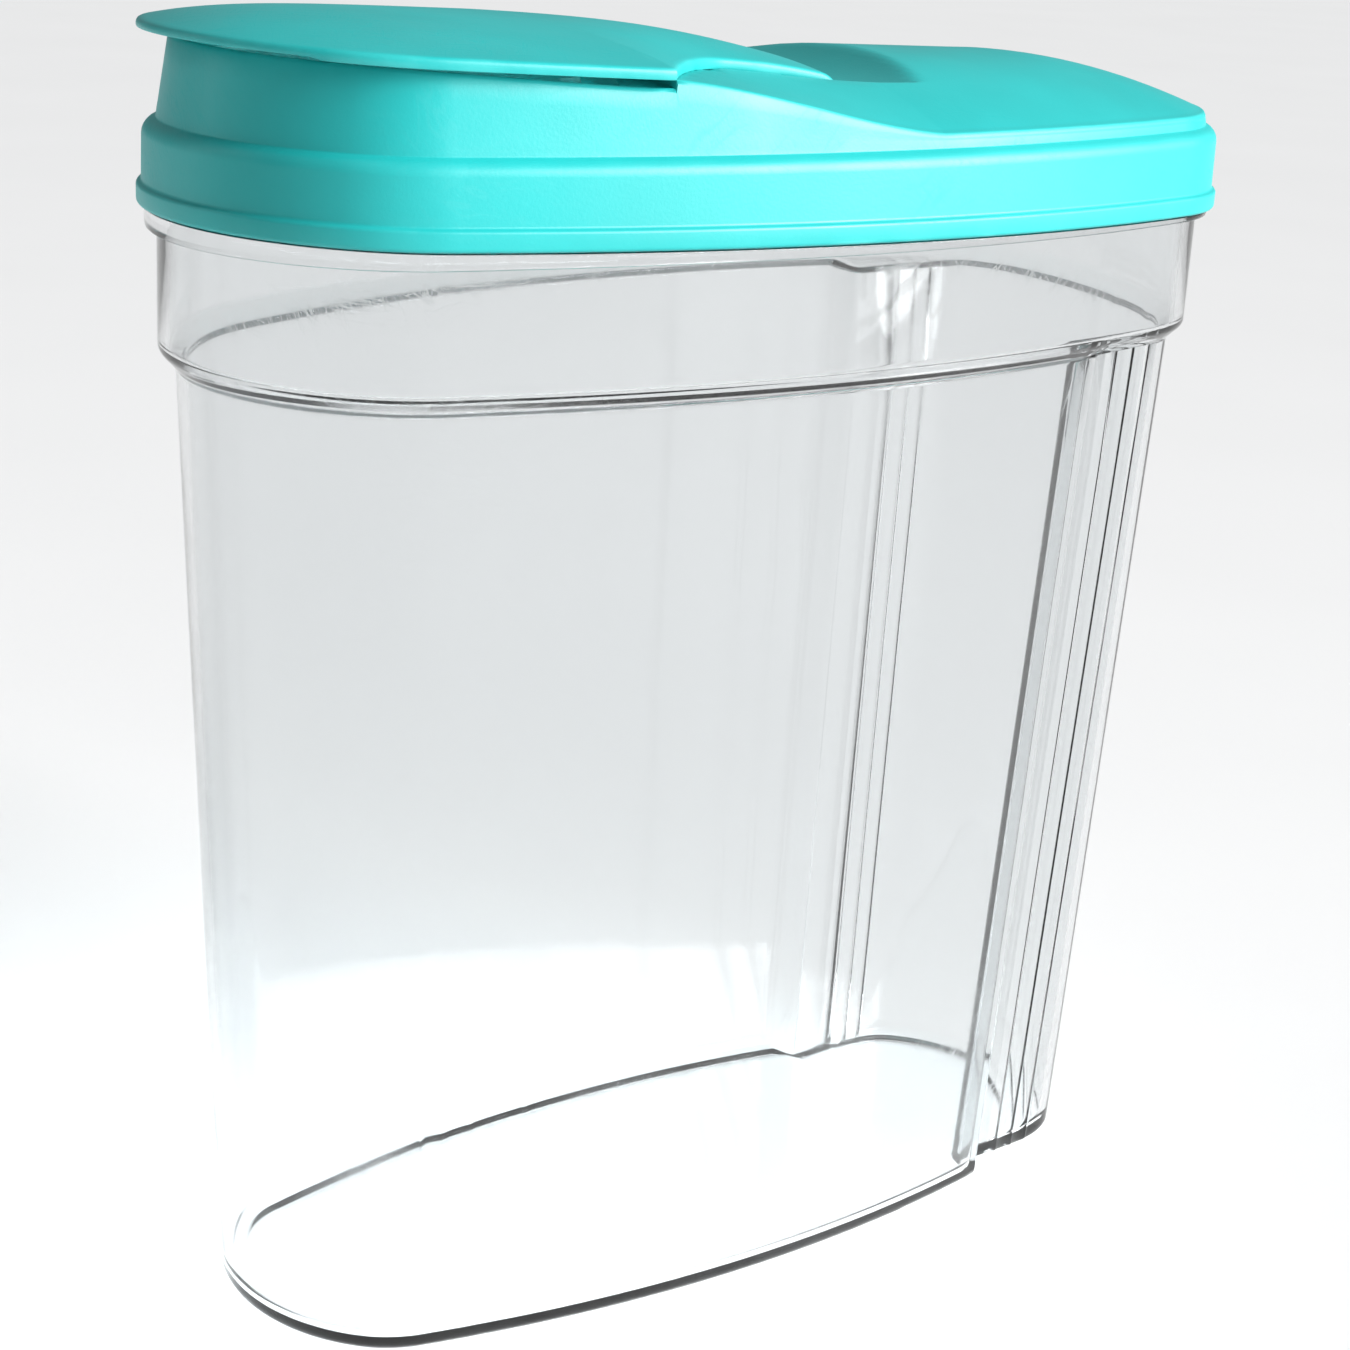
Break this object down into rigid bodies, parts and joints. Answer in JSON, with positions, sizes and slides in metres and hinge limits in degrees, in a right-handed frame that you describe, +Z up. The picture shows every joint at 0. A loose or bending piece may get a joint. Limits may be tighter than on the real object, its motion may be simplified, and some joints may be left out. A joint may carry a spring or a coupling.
{
  "type": "flip-top food canister",
  "caption": "Tall clear food canister with an oval-ended body, grip recesses at one end, a press-on teal lid and a hinged pour flap.",
  "frame": {"origin": "middle of the base, on the surface it stands on", "axes": "+Z up, -X towards the pour end, +X towards the grip end, Y across the narrow width"},
  "size_m": [0.2631, 0.123, 0.28],
  "materials": {
    "clear_plastic": "clear, glossy, faint grey tint, with light scuffs",
    "teal_plastic": "fine satin moulded surface"
  },
  "bodies": {
    "canister": {"canister": "clear_plastic"},
    "lid": {"lid": "teal_plastic"},
    "flap": {"flap": "teal_plastic"}
  },
  "joints": [
    {"name": "lid_lift", "type": "slide", "parent": "canister", "child": "lid", "axis": [0, 0, 1], "range_m": [0, 0.06]},
    {"name": "flap_hinge", "type": "hinge", "parent": "lid", "child": "flap", "pos_m": [-0.001, 0, 0.2632], "axis": [0, 1, 0], "range_deg": [0, 110]}
  ]
}
